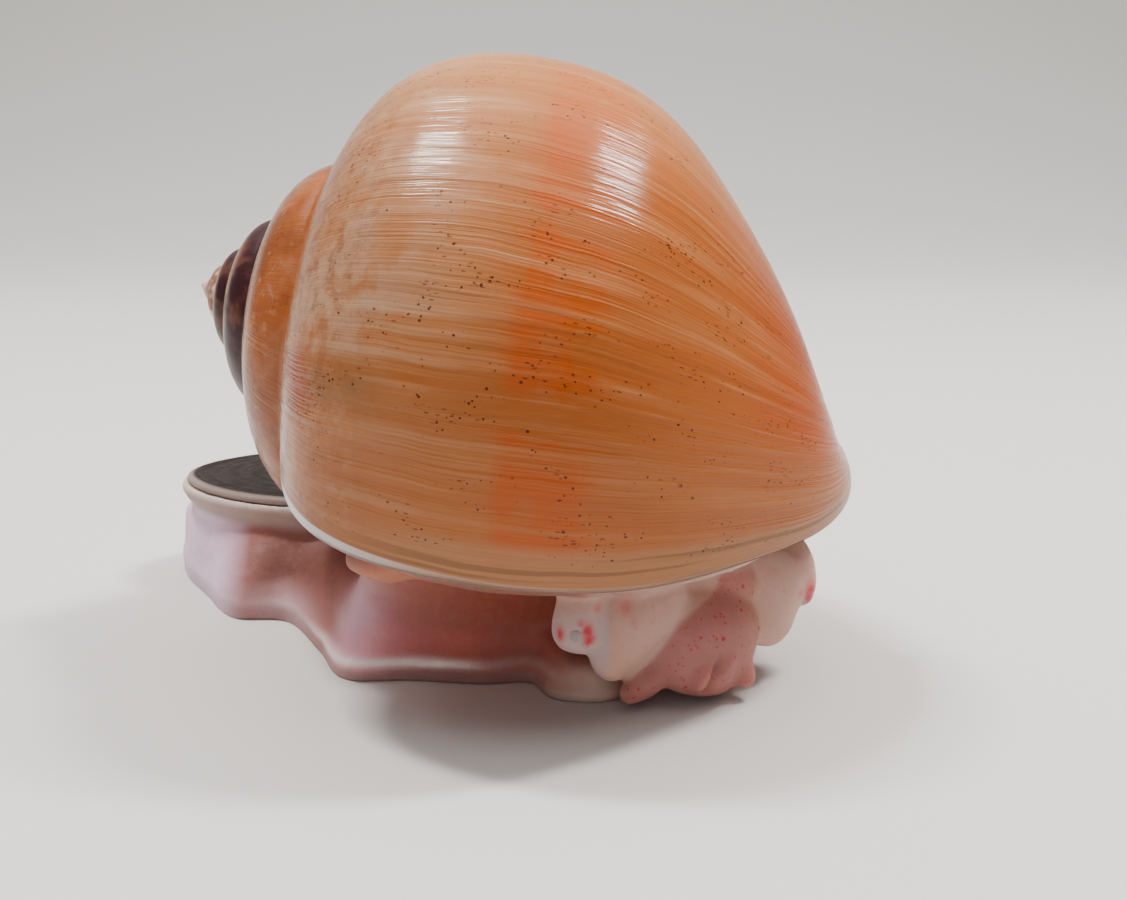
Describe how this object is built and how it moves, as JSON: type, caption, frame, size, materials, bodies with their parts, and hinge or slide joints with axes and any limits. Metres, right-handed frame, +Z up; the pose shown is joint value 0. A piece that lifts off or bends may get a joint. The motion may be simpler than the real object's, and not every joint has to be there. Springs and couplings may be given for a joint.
{
  "type": "apple snail",
  "caption": "Still life-size apple snail crawling on its broad foot, round coiled shell above, operculum on the tail, short drawn-in tentacles.",
  "frame": {"origin": "a point on the flat of the foot's sole, on the floor, under the middle of the shell", "axes": "+Z up, +X from the tail towards the head, and the snail's right side faces -Y"},
  "size_m": [0.0571, 0.0519, 0.0453],
  "materials": {
    "shell": "smooth glossy calcareous shell with fine growth lines",
    "flesh": "moist translucent pinkish skin",
    "horn": "matt dark horny plate with growth rings",
    "eye": "small wet glossy eye"
  },
  "bodies": {
    "root": {"shell": "shell", "mantle": "flesh", "body_stalk": "flesh", "foot_front": "flesh", "foot_middle": "flesh", "foot_tail": "flesh", "opercular_lobe": "flesh", "operculum": "horn", "head": "flesh", "snout": "flesh", "palp_right": "flesh", "palp_left": "flesh", "tentacle_right": "flesh", "tentacle_left": "flesh", "eyestalk_right": "flesh", "eyestalk_left": "flesh", "eye_right": "eye", "eye_left": "eye", "nuchal_lobe_right": "flesh", "siphon": "flesh"}
  },
  "joints": []
}
